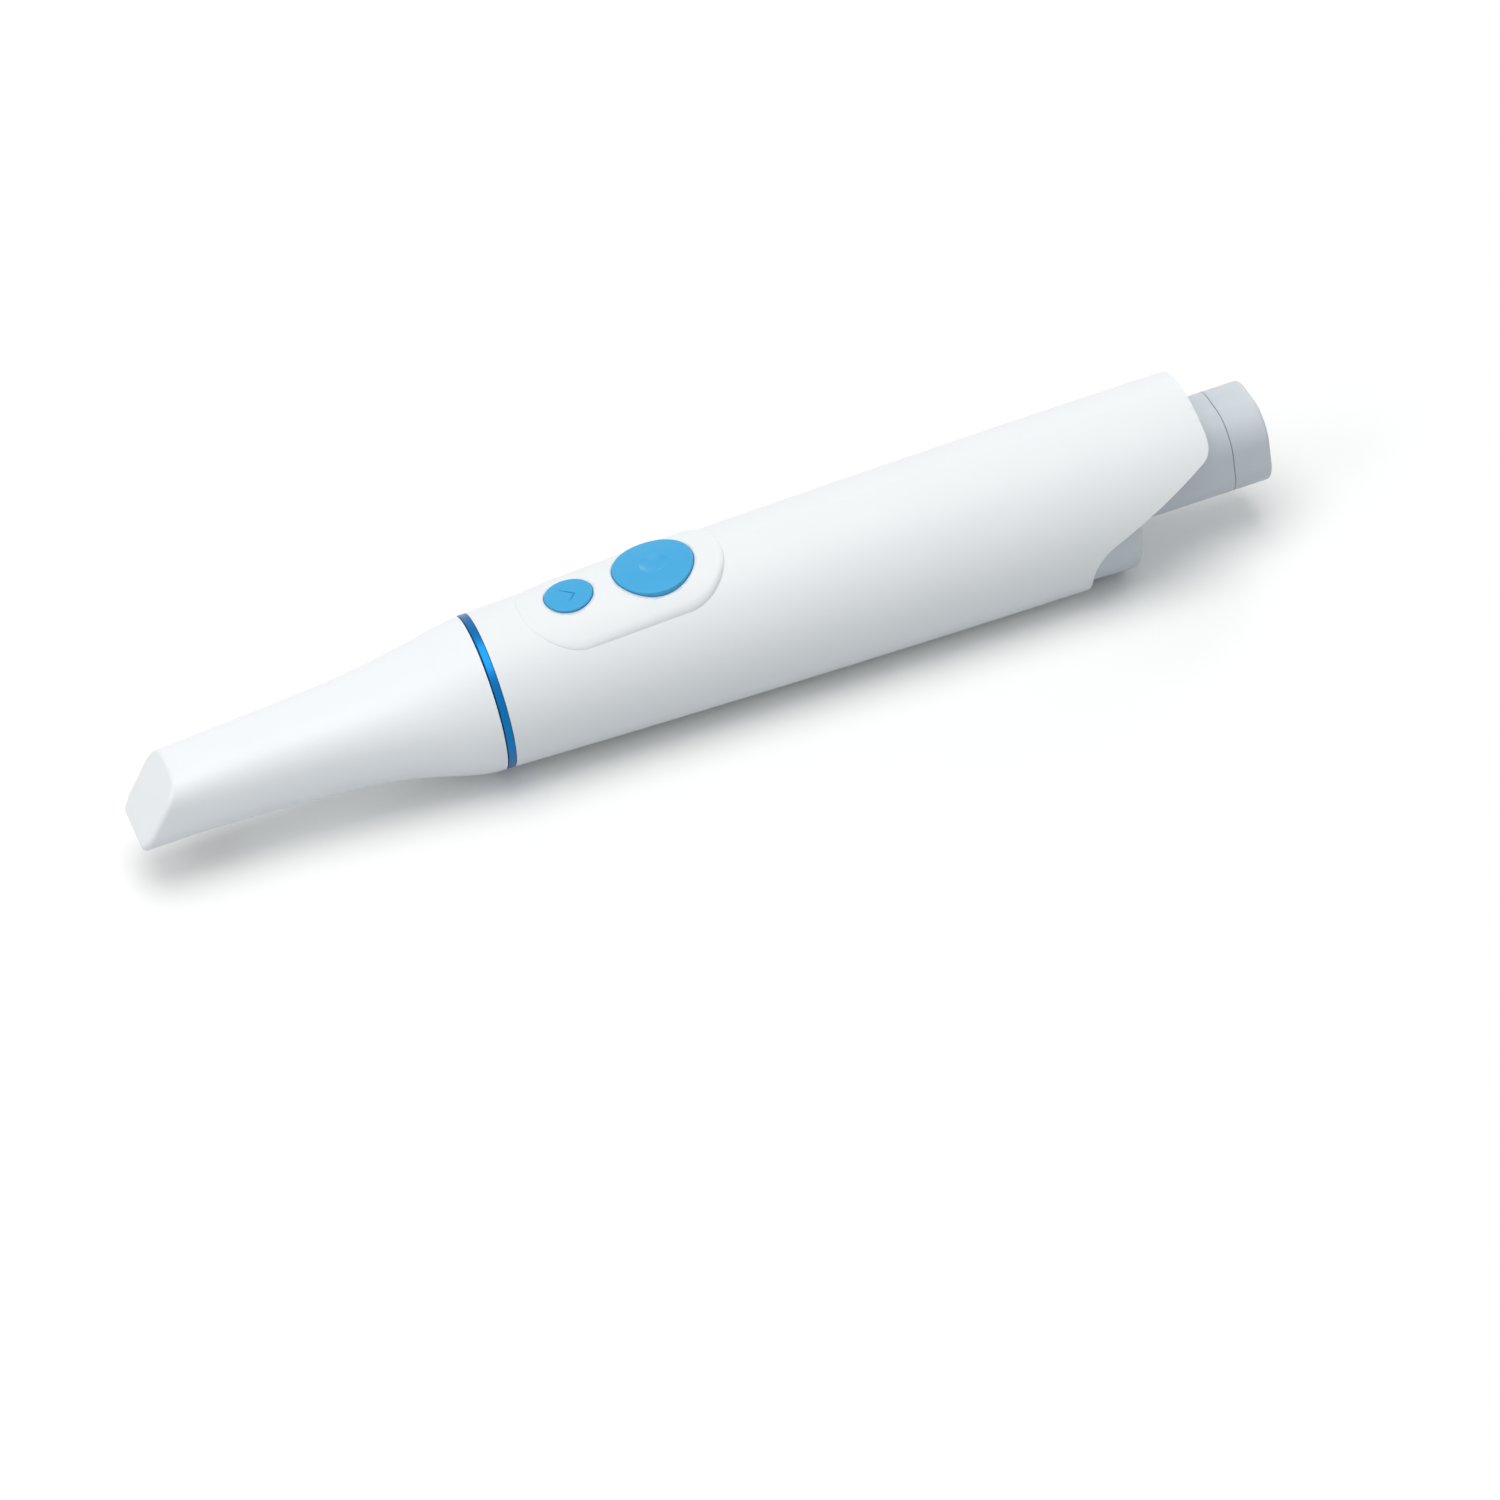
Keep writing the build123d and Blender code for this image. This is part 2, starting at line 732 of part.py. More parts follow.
export_step(heat_sink.part, "parts/heat_sink.step")

# Board under the keys, its two switches and their plungers
with BuildPart() as key_board:
    with BuildSketch(level(key_board_z)):
        with Locations((key_board_x, 0)):
            RectangleRounded(key_board_length, key_board_width, board_corner)
        with Locations(*key_screw_places):
            Circle(screw_radius + running_gap, mode=Mode.SUBTRACT)
    extrude(amount=board_thickness)
key_board.part.label = "key_board"
export_step(key_board.part, "parts/key_board.step")

plunger_bottom_z = switch_top_z - plunger_depth
with BuildPart() as key_switches:
    with BuildSketch(level(key_board_z + board_thickness)):
        with Locations((scan_key_x, 0), (mode_key_x, 0)):
            RectangleRounded(switch_side, switch_side, switch_corner)
    extrude(amount=switch_height)
    with BuildSketch(level(plunger_bottom_z - key_travel - fit)):
        with Locations((scan_key_x, 0), (mode_key_x, 0)):
            Circle(plunger_radius + running_gap)
    extrude(amount=switch_height, mode=Mode.SUBTRACT)
key_switches.part.label = "key_switches"
export_step(key_switches.part, "parts/key_switches.step")

for name, x in (("scan_plunger", scan_key_x), ("mode_plunger", mode_key_x)):
    with BuildPart() as plunger:
        with BuildSketch(level(plunger_bottom_z)):
            with Locations((x, 0)):
                Circle(plunger_radius)
        extrude(amount=plunger_top_z - plunger_bottom_z)
    plunger.part.label = name
    export_step(plunger.part, "parts/" + name + ".step")

# Metal tray that lies in the bottom of the housing and carries the main board
tray_inset = wall + fit
tray_band = turned(collar_rear_x, tray_rear_x, tray_inset, tray_inset + tray_thickness)
tray_core = turned_core(collar_rear_x, tray_rear_x, tray_inset + tray_thickness / 2)
main_post_stations = (main_board_front_x + main_post_inset, main_board_rear_x - main_post_inset)
main_post_places = [(x, y * main_post_spread) for x in main_post_stations for y in (-1, 1)]
boss_places = [(y * boss_spread, boss_z) for y in (-1, 1)]

with BuildPart() as chassis_tray:
    with BuildSketch(level(main_board_z)):
        with Locations(*main_post_places):
            Circle(post_radius)
    extrude(amount=-axis_height)
    with BuildSketch(cross_plane(tray_rear_x)):
        with Locations(*boss_places):
            Rectangle(tray_block, tray_block)
    extrude(amount=-tray_block_length)
    add(tray_core, mode=Mode.INTERSECT)
    add(tray_band)
    with BuildSketch(level(tray_top_z)):
        Rectangle(6 * beyond, 2 * beyond)
    extrude(amount=beyond, mode=Mode.SUBTRACT)
    with BuildSketch(level(main_board_z)):
        with Locations(*main_post_places):
            Circle(screw_radius + running_gap)
    extrude(amount=-screw_length, mode=Mode.SUBTRACT)
    with BuildSketch(cross_plane(tray_rear_x)):
        with Locations(*boss_places):
            Circle(screw_radius + running_gap)
    extrude(amount=-tray_block_length, mode=Mode.SUBTRACT)
chassis_tray.part.label = "chassis_tray"
export_step(chassis_tray.part, "parts/chassis_tray.step")

# Main board and what is soldered to it
main_board_x = (main_board_front_x + main_board_rear_x) / 2
with BuildPart() as main_board:
    with BuildSketch(level(main_board_z)):
        with Locations((main_board_x, 0)):
            RectangleRounded(main_board_rear_x - main_board_front_x, main_board_width, board_corner)
        with Locations(*main_post_places):
            Circle(screw_radius + running_gap, mode=Mode.SUBTRACT)
    extrude(amount=board_thickness)
main_board.part.label = "main_board"
export_step(main_board.part, "parts/main_board.step")

for name, chips, size in board_chips:
    with BuildPart() as parts_on_board:
        with BuildSketch(level(main_board_z + board_thickness)):
            with Locations(*[(main_board_front_x + behind, y) for behind, y in chips]):
                Rectangle(size[0], size[1])
        extrude(amount=size[2])
    parts_on_board.part.label = name
    export_step(parts_on_board.part, "parts/" + name + ".step")

# Stations along the battery, from its rear end forwards to the bottom of the bay
cap_front_x = bay_rear_x + seam_gap
cell_front_x = cap_front_x - cell_gap - cell_length
case_front_x = cell_front_x - cell_gap - case_end
pin_tip_x = case_front_x - gasket_thickness - contact_gap
block_front_x = pin_tip_x - contact_pin_length
bay_front_x = block_front_x - bay_floor

# Grey rear frame: skirt in the housing, rear plate, square bay for the battery pack
frame_inset = wall + fit
frame_skirt_band = turned(frame_front_x, frame_rear_x, frame_inset, frame_inset + frame_skirt)
frame_plate_disc = turned_core(frame_rear_x - frame_plate, frame_rear_x, frame_inset)
frame_core = turned_core(frame_front_x, frame_rear_x, frame_inset)

with BuildPart() as rear_frame:
    with BuildSketch(cross_plane(frame_front_x)):
        with Locations(*boss_places):
            Circle(boss_radius)
    extrude(amount=frame_rear_x - frame_front_x)
    add(frame_core, mode=Mode.INTERSECT)
    add(frame_skirt_band)
    add(frame_plate_disc)
    rear_circles = rear_frame.edges().filter_by(GeomType.CIRCLE).group_by(Axis.X)[-1]
    fillet(rear_circles.sort_by(SortBy.RADIUS)[-1], frame_edge_round)
    with BuildSketch(cross_plane(bay_front_x, bay_z)):
        RectangleRounded(bay_width, bay_width, bay_corner)
    extrude(amount=bay_rear_x - bay_front_x)
    root_edges = rear_frame.edges().filter_by(lambda e: abs(e.center().X - frame_rear_x) < 0.01)
    fillet(root_edges.filter_by(lambda e: e.length < 4 * bay_width), bay_root_round)
    with BuildSketch(cross_plane(bay_front_x + bay_floor, bay_z)):
        RectangleRounded(bay_width - 2 * bay_wall, bay_width - 2 * bay_wall, bay_corner - bay_wall)
    extrude(amount=bay_rear_x - bay_front_x, mode=Mode.SUBTRACT)
    with BuildSketch(cross_plane(frame_front_x)):
        with Locations(*boss_places):
            Circle(screw_radius + running_gap)
    extrude(amount=frame_rear_x - frame_front_x, mode=Mode.SUBTRACT)
    with BuildSketch(cross_plane(frame_rear_x - frame_screw_sink)):
        with Locations(*boss_places):
            Circle(screw_head_radius + fit)
    extrude(amount=frame_screw_sink, mode=Mode.SUBTRACT)
rear_frame.part.label = "rear_frame"
export_step(rear_frame.part, "parts/rear_frame.step")

# Battery pack: case round the cell, gold contacts at its front, gasket and grey cap at its rear
case_width = bay_width - 2 * bay_wall - 2 * case_gap
case_corner = bay_corner - bay_wall - case_gap

with BuildPart() as battery_case:
    with BuildSketch(cross_plane(case_front_x, bay_z)):
        RectangleRounded(case_width, case_width, case_corner)
    extrude(amount=cap_front_x - case_front_x)
    with BuildSketch(cross_plane(case_front_x + case_end, bay_z)):
        Circle(cell_radius + cell_gap)
    extrude(amount=cell_length + 2 * cell_gap, mode=Mode.SUBTRACT)
battery_case.part.label = "battery_case"
export_step(battery_case.part, "parts/battery_case.step")

with BuildPart() as battery_cell:
    with BuildSketch(cross_plane(cell_front_x + cell_nub, bay_z)):
        Circle(cell_radius)
    extrude(amount=cell_length - cell_nub)
    fillet(battery_cell.edges().filter_by(GeomType.CIRCLE), cell_nub)
    with BuildSketch(cross_plane(cell_front_x, bay_z)):
        Circle(cell_radius / 3)
    extrude(amount=2 * cell_nub)
battery_cell.part.label = "battery_cell"
export_step(battery_cell.part, "parts/battery_cell.step")

contact_places = GridLocations(contact_pitch, 1, contact_count, 1)
contact_points = [(place.position.X, place.position.Y) for place in contact_places]
with BuildPart() as battery_contacts:
    with BuildSketch(cross_plane(case_front_x, bay_z)):
        with Locations(*contact_points):
            RectangleRounded(2 * contact_radius + 1, 3 * contact_pitch, contact_radius)
    extrude(amount=-gasket_thickness)
battery_contacts.part.label = "battery_contacts"
export_step(battery_contacts.part, "parts/battery_contacts.step")

with BuildPart() as battery_gasket:
    with BuildSketch(cross_plane(cap_front_x, bay_z)):
        RectangleRounded(bay_width - 2 * fit, bay_width - 2 * fit, bay_corner - fit)
        RectangleRounded(case_width + 2 * fit, case_width + 2 * fit, case_corner + fit, mode=Mode.SUBTRACT)
    extrude(amount=-gasket_thickness)
battery_gasket.part.label = "battery_gasket"
export_step(battery_gasket.part, "parts/battery_gasket.step")

with BuildPart() as battery_cap:
    with BuildSketch(cross_plane(cap_front_x, bay_z)):
        RectangleRounded(bay_width, bay_width, bay_corner)
    extrude(amount=cap_end_x - cap_front_x)
    fillet(battery_cap.faces().sort_by(Axis.X)[-1].edges(), cap_round)
battery_cap.part.label = "battery_cap"
export_step(battery_cap.part, "parts/battery_cap.step")

# Spring pins at the bottom of the bay, in their block
with BuildPart() as contact_block:
    with BuildSketch(cross_plane(block_front_x, bay_z)):
        RectangleRounded(contact_count * contact_pitch + 1, 3 * contact_pitch, contact_radius)
        with Locations(*contact_points):
            Circle(contact_radius + running_gap, mode=Mode.SUBTRACT)
    extrude(amount=contact_block_length)
contact_block.part.label = "contact_block"
export_step(contact_block.part, "parts/contact_block.step")

with BuildPart() as contact_pins:
    with BuildSketch(cross_plane(block_front_x, bay_z)):
        with Locations(*contact_points):
            Circle(contact_radius)
    extrude(amount=contact_pin_length)
contact_pins.part.label = "contact_pins"
export_step(contact_pins.part, "parts/contact_pins.step")


# Screws, each kind as one group of separate screws: the head stands on its plane, the shank goes below
screw_groups = (
    (
        "optics_screws",
        [cross_plane(collar_rear_x + flange_thickness, z, y) for y, z in optics_screw_places],
        flange_thickness + bulkhead_thickness - fit,
    ),
    (
        "key_board_screws",
        [level(key_board_z + board_thickness, x, y) for x, y in key_screw_places],
        screw_length,
    ),
    (
        "main_board_screws",
        [level(main_board_z + board_thickness, x, y) for x, y in main_post_places],
        screw_length,
    ),
    (
        "frame_screws",
        [cross_plane(frame_rear_x - frame_screw_sink, z, y) for y, z in boss_places],
        frame_screw_length,
    ),
)
for name, head_planes, length in screw_groups:
    with BuildPart() as screws:
        for head_plane in head_planes:
            with BuildSketch(head_plane):
                Circle(screw_head_radius)
            extrude(amount=screw_head)
            with BuildSketch(head_plane):
                Circle(screw_radius)
            extrude(amount=-length)
    screws.part.label = name
    export_step(screws.part, "parts/" + name + ".step")
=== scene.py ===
import json
import math

import bmesh
import bpy
import numpy as np
from mathutils import Matrix, Vector
from mathutils.bvhtree import BVHTree
from mathutils.geometry import delaunay_2d_cdt


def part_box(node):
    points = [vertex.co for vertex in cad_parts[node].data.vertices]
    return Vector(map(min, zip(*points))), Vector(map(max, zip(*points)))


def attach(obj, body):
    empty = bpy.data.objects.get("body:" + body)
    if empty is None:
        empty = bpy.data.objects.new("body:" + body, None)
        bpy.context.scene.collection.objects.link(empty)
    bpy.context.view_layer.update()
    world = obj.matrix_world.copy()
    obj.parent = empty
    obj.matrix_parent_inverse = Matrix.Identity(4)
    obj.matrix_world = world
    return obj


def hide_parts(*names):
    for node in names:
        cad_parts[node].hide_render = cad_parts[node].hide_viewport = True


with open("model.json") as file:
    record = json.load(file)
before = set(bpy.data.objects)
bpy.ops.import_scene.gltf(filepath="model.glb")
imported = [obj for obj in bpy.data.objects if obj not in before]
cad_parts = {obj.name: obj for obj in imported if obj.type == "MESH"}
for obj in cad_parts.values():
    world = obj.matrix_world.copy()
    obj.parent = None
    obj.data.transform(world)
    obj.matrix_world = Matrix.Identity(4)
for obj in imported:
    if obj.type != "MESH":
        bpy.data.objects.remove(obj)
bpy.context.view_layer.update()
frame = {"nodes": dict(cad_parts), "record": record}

# Photograph: a square frame, and how the camera stood to the scanner
PHOTO_SIDE = 1500
FOCAL_PIXELS = 6579.0
SENSOR_MM = 36.0
CAMERA_REACH = 20.0
VIEW_TURN = math.radians(13.08)
VIEW_HEIGHT = math.radians(39.67)
VIEW_ROLL = math.radians(9.98)
VIEW_DISTANCE = 1.5915
VIEW_AIM = Vector((-0.0601, -0.0217, -0.0043))


def camera_axes():
    """Direction to the camera, and the picture's right and up, in the frame."""
    out = Vector(
        (
            -math.sin(VIEW_TURN) * math.cos(VIEW_HEIGHT),
            -math.cos(VIEW_TURN) * math.cos(VIEW_HEIGHT),
            math.sin(VIEW_HEIGHT),
        )
    )
    right = Vector((math.cos(VIEW_TURN), -math.sin(VIEW_TURN), 0.0))
    up = out.cross(right)
    return (
        out,
        math.cos(VIEW_ROLL) * right - math.sin(VIEW_ROLL) * up,
        math.sin(VIEW_ROLL) * right + math.cos(VIEW_ROLL) * up,
    )


def make_camera():
    """Camera at the photograph's angle and distance."""
    out, right, up = camera_axes()
    data = bpy.data.cameras.new("photo_camera")
    data.lens = SENSOR_MM * FOCAL_PIXELS / PHOTO_SIDE
    data.sensor_width = SENSOR_MM
    data.sensor_height = SENSOR_MM
    data.sensor_fit = "HORIZONTAL"
    data.clip_end = CAMERA_REACH
    camera = bpy.data.objects.new("photo_camera", data)
    turn = Matrix((right, up, out)).transposed().to_4x4()
    camera.matrix_world = Matrix.Translation(VIEW_AIM + VIEW_DISTANCE * out) @ turn
    bpy.context.scene.collection.objects.link(camera)
    bpy.context.scene.camera = camera


# Materials. Noise scales are in cells a metre, and depths in metres.
# Most of a noise lies between these two values.
NOISE_LOW = 0.3
NOISE_HIGH = 0.7
DRIFT_SCALE = 38.0
DRIFT_TINT = 0.012
GRAIN_DETAIL = 3.0
ROUGH_SPREAD = 0.03
COAT_ROUGH = 0.25
GLASS_SCALE = 200.0
GLASS_TINT = 0.03
GLASS_SPREAD = 0.02
GLASS_IOR = 1.5

WHITE = (0.872, 0.882, 0.868)
# The tip's white is the body's white made a little lighter. The lift is painted light, standing in for
# the light from the front that the tip's forward-leaning faces catch.
TIP_WHITE_PAINTED_LIGHTER = (0.895, 0.905, 0.895)
BLUE = (0.036, 0.38, 0.69)
DEEP_BLUE = (0.008, 0.155, 0.4)
GREY = (0.62, 0.655, 0.675)
SILVER = (0.9, 0.92, 0.93)
LENS_TINT = (0.93, 0.97, 0.98)
METAL_BLACK = (0.02, 0.02, 0.024)
NECK_BLACK = (0.03, 0.03, 0.033)
CAST_GREY = (0.66, 0.67, 0.69)
BOARD_GREEN = (0.015, 0.13, 0.06)
CHIP_BLACK = (0.03, 0.03, 0.032)
GOLD = (0.85, 0.62, 0.22)
SCREW_GREY = (0.56, 0.57, 0.58)
TRAY_GREY = (0.58, 0.59, 0.6)
GASKET_GREY = (0.3, 0.32, 0.34)
CELL_GREEN = (0.03, 0.16, 0.1)

# Finish of each slot of the record. The ring is turned, so its grain runs round it.
MOULDED_SLOTS = {
    "body_white": dict(colour=WHITE, rough=0.5),
    # The tip's colour is lighter than the body's white by painted light.
    "tip_white": dict(colour=TIP_WHITE_PAINTED_LIGHTER, rough=0.45),
    "key_blue": dict(colour=BLUE, rough=0.42, depth=6e-6),
    "ring_blue": dict(colour=DEEP_BLUE, rough=0.34, metal=1.0, stretch=(9, 1, 1)),
    "frame_grey": dict(colour=GREY, rough=0.45, depth=6e-6),
    "battery_grey": dict(colour=GREY, rough=0.45, depth=6e-6),
    "mirror_glass": dict(colour=SILVER, rough=0.06, metal=1.0, depth=0.0),
    "black_metal": dict(colour=METAL_BLACK, rough=0.4, metal=0.6),
    "neck_black": dict(colour=NECK_BLACK, rough=0.48, depth=8e-6),
    "cast_metal": dict(colour=CAST_GREY, rough=0.38, metal=1.0, depth=1e-5),
    "board_green": dict(colour=BOARD_GREEN, rough=0.35, coat=0.4),
    "chip_black": dict(colour=CHIP_BLACK, rough=0.5),
    "contact_gold": dict(colour=GOLD, rough=0.25, metal=1.0),
    "screw_steel": dict(colour=SCREW_GREY, rough=0.32, metal=1.0),
    "tray_steel": dict(colour=TRAY_GREY, rough=0.34, metal=1.0, stretch=(1, 12, 1)),
    "gasket_rubber": dict(colour=GASKET_GREY, rough=0.7),
    "cell_sleeve": dict(colour=CELL_GREEN, rough=0.4),
}


def new_material(name):
    """Empty node material with its output and a shader."""
    material = bpy.data.materials.new(name)
    material.use_nodes = True
    nodes = material.node_tree.nodes
    nodes.clear()
    output = nodes.new("ShaderNodeOutputMaterial")
    shader = nodes.new("ShaderNodeBsdfPrincipled")
    material.node_tree.links.new(shader.outputs["BSDF"], output.inputs["Surface"])
    return material, nodes, material.node_tree.links, shader


def noise(nodes, links, scale, detail=2.0, stretch=(1, 1, 1)):
    """Noise in the piece's own coordinates."""
    place = nodes.new("ShaderNodeTexCoord")
    mapping = nodes.new("ShaderNodeMapping")
    mapping.inputs["Scale"].default_value = stretch
    texture = nodes.new("ShaderNodeTexNoise")
    texture.inputs["Scale"].default_value = scale
    texture.inputs["Detail"].default_value = detail
    links.new(place.outputs["Object"], mapping.inputs["Vector"])
    links.new(mapping.outputs["Vector"], texture.inputs["Vector"])
    return texture.outputs["Fac"]


def ramp(nodes, links, value, low, high):
    """Number that goes from low to high as value goes over a noise's range, and stops at both."""
    node = nodes.new("ShaderNodeMapRange")
    node.inputs["From Min"].default_value = NOISE_LOW
    node.inputs["From Max"].default_value = NOISE_HIGH
    node.inputs["To Min"].default_value = low
    node.inputs["To Max"].default_value = high
    links.new(value, node.inputs["Value"])
    return node.outputs["Result"]


def blend_colours(nodes, links, value, first, second):
    """Colour between first and second that follows value."""
    node = nodes.new("ShaderNodeMix")
    node.data_type = "RGBA"
    node.inputs["A"].default_value = (*first, 1)
    node.inputs["B"].default_value = (*second, 1)
    links.new(value, node.inputs["Factor"])
    return node.outputs["Result"]


def bump(nodes, links, shader, value, depth):
    """Bump of the given depth."""
    node = nodes.new("ShaderNodeBump")
    node.inputs["Strength"].default_value = 1.0
    node.inputs["Distance"].default_value = depth
    links.new(value, node.inputs["Height"])
    links.new(node.outputs["Normal"], shader.inputs["Normal"])


def tint(colour, amount):
    """Colour made lighter or darker by a small factor."""
    return tuple(min(1.0, c * (1 + amount)) for c in colour)


def moulded(name, colour, rough, grain=2600.0, depth=4e-6, coat=0.0, metal=0.0, stretch=(1, 1, 1)):
    """Moulded or machined surface: slight colour drift, uneven gloss and a fine grain."""
    material, nodes, links, shader = new_material(name)
    drift = noise(nodes, links, DRIFT_SCALE, GRAIN_DETAIL)
    fine = noise(nodes, links, grain, GRAIN_DETAIL, stretch)
    shades = tint(colour, -DRIFT_TINT), tint(colour, DRIFT_TINT)
    links.new(blend_colours(nodes, links, drift, *shades), shader.inputs["Base Color"])
    gloss = ramp(nodes, links, fine, rough - ROUGH_SPREAD, rough + ROUGH_SPREAD)
    links.new(gloss, shader.inputs["Roughness"])
    shader.inputs["Metallic"].default_value = metal
    shader.inputs["Coat Weight"].default_value = coat
    shader.inputs["Coat Roughness"].default_value = COAT_ROUGH
    bump(nodes, links, shader, fine, depth)
    return material


def clear(name, colour, rough):
    """Coated optical glass."""
    material, nodes, links, shader = new_material(name)
    shader.inputs["Transmission Weight"].default_value = 1.0
    shader.inputs["IOR"].default_value = GLASS_IOR
    drift = noise(nodes, links, GLASS_SCALE)
    shades = colour, tint(colour, GLASS_TINT)
    links.new(blend_colours(nodes, links, drift, *shades), shader.inputs["Base Color"])
    links.new(ramp(nodes, links, drift, rough, rough + GLASS_SPREAD), shader.inputs["Roughness"])
    return material


def make_materials():
    """Material of each slot of the record."""
    made = {slot: moulded(slot, **finish) for slot, finish in MOULDED_SLOTS.items()}
    made["clear_glass"] = clear("clear_glass", LENS_TINT, 0.02)
    return made


def dress_frame(materials):
    """Every node of the frame gets the material of its slot."""
    for part in frame["record"]["subparts"]:
        node = frame["nodes"][part["node"]]
        node.data.materials.clear()
        node.data.materials.append(materials[part["material_slot"]])


# Key pad: its solid's outline and crown, with the softer roll round the rim that the photograph shows

# Corner radius of the outline, width of the roll, and power of the curve that the roll follows
PAD_CORNER = 0.0128
PAD_ROLL = 0.0014
PAD_ROLL_POWER = 2.6
# How far the roll's foot is outside the solid, and the underside below the body's surface
PAD_SEAT = 0.00009
PAD_SINK = 0.0007
# How far the top stands over the body along its two sides, at each end and at the least
PAD_RAISE_FRONT = 0.0003
PAD_RAISE_REAR = 0.00115
PAD_LEAST_RAISE = 0.00018
# Radius of the crown, and how softly it meets the sides
CROWN_RADIUS = 0.045
PAD_BLEND = 0.00025
# How finely the pad is divided, and how finely the body under it is measured
PAD_GRID = 0.0009
PAD_RINGS = 12
ARC_STEPS = 24
SIDE_STEPS = 26
END_STEPS = 3
HOLE_STEPS = 96
BODY_STATIONS = 40
# Start of a ray that is well outside the scanner, and distances at which points become one
RAY_START = 0.1
SAME_PLACE = 1e-7
SAME_POINT = 2e-6
# Share of the roll's width inside which a face belongs to the roll
ROLL_EDGE = 0.999


def node_tree(node):
    """Search tree of a node's surface."""
    mesh = frame["nodes"][node].data
    corners = [v.co.copy() for v in mesh.vertices]
    return BVHTree.FromPolygons(corners, [tuple(p.vertices) for p in mesh.polygons])


def first_hit(tree, start, direction):
    """Where a ray first meets the surface."""
    return tree.ray_cast(Vector(start), Vector(direction))[0]


class PadSurface:
    """Heights of the body under the key pad and of the pad's top, read from their nodes."""

    def __init__(self, low, high):
        ring_low, ring_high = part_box("trim_ring")
        housing = node_tree("main_housing")
        self.low = low
        self.high = high
        self.cover = node_tree("keypad_cover")
        self.axis_z = (ring_low[2] + ring_high[2]) / 2
        self.stations = np.linspace(low.x - PAD_GRID, high.x + PAD_GRID, BODY_STATIONS)
        side_starts = [(x, -RAY_START, self.axis_z) for x in self.stations]
        self.radii = [-first_hit(housing, start, (0, 1, 0)).y for start in side_starts]
        self.crown_places = (low.x + 2 * PAD_ROLL, high.x - 2 * PAD_ROLL)
        crown_starts = [(x, 0, RAY_START) for x in self.crown_places]
        self.crown_tops = [first_hit(self.cover, start, (0, 0, -1)).z for start in crown_starts]

    def body_top(self, x, y, proud=0.0):
        """Height of the body's surface, or of one that stands proud of it."""
        radius = np.interp(x, self.stations, self.radii) + proud
        return self.axis_z + math.sqrt(radius**2 - y * y)

    def crown_top(self, x, y):
        """Height of the pad's crown, which slopes along the body and is round across it."""
        rise = self.crown_tops[1] - self.crown_tops[0]
        slope = rise / (self.crown_places[1] - self.crown_places[0])
        middle = self.crown_tops[0] + (x - self.crown_places[0]) * slope
        return middle - CROWN_RADIUS + math.sqrt(CROWN_RADIUS**2 - y * y)

    def pad_top(self, x, y, inside):
        """Height of the pad's top at a place that is this far inside the outline."""
        along = (x - self.low.x) / (self.high.x - self.low.x)
        band = self.body_top(x, y, PAD_RAISE_FRONT + along * (PAD_RAISE_REAR - PAD_RAISE_FRONT))
        crown = self.crown_top(x, y)
        apart = abs(band - crown)
        top = min(band, crown) - PAD_BLEND * math.log1p(math.exp(-apart / PAD_BLEND))
        raised = max(top - self.body_top(x, y), PAD_LEAST_RAISE)
        rise = max(0.0, min(1.0, inside / PAD_ROLL))
        share = (1 - (1 - rise) ** PAD_ROLL_POWER) ** (1 / PAD_ROLL_POWER)
        return self.body_top(x, y) + raised * share

    def key_holes(self):
        """Middle and radius of each key's hole."""
        holes = []
        for key in ("mode_button", "scan_button"):
            key_low, key_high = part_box(key)
            middle = (key_low[0] + key_high[0]) / 2
            level = self.body_top(middle, key_high[1])
            holes.append((middle, first_hit(self.cover, (middle, 0, level), (0, 1, 0)).y))
        return holes


def pad_outline(low, high):
    """Points round the pad's outline, once round, each with its outward direction."""
    corners = (
        (high.x - PAD_CORNER, high.y - PAD_CORNER, 0, END_STEPS),
        (low.x + PAD_CORNER, high.y - PAD_CORNER, 90, SIDE_STEPS),
        (low.x + PAD_CORNER, low.y + PAD_CORNER, 180, END_STEPS),
        (high.x - PAD_CORNER, low.y + PAD_CORNER, 270, SIDE_STEPS),
    )
    points = []
    for x, y, start, steps in corners:
        first = math.radians(start)
        arc_start = Vector((x + PAD_CORNER * math.cos(first), y + PAD_CORNER * math.sin(first)))
        if points:
            before = points[-1][0]
            points += [(before.lerp(arc_start, i / steps), points[-1][1]) for i in range(1, steps)]
        for i in range(ARC_STEPS + 1):
            turn = first + math.radians(90) * i / ARC_STEPS
            out = Vector((math.cos(turn), math.sin(turn)))
            points.append((Vector((x, y)) + PAD_CORNER * out, out))
    before, out = points[-1]
    points += [(before.lerp(points[0][0], i / END_STEPS), out) for i in range(1, END_STEPS)]
    return points


def roll_rings(outline):
    """Rings of the roll from the outline inwards, each point with its distance inside."""
    rings = []
    for i in range(PAD_RINGS + 1):
        inside = PAD_ROLL * (1 - math.cos(math.radians(90) * i / PAD_RINGS))
        grow = PAD_SEAT * (1 - i / PAD_RINGS) - inside
        rings.append([(point + grow * out, inside) for point, out in outline])
    return rings


def distance_inside(low, high, x, y):
    """Distance from a place inside the pad's outline to that outline."""
    middle = (low + high) / 2
    across = abs(x - middle.x) - (high.x - low.x) / 2 + PAD_CORNER
    along = abs(y - middle.y) - (high.y - low.y) / 2 + PAD_CORNER
    outside = math.hypot(max(across, 0), max(along, 0)) + min(max(across, along), 0)
    return PAD_CORNER - outside


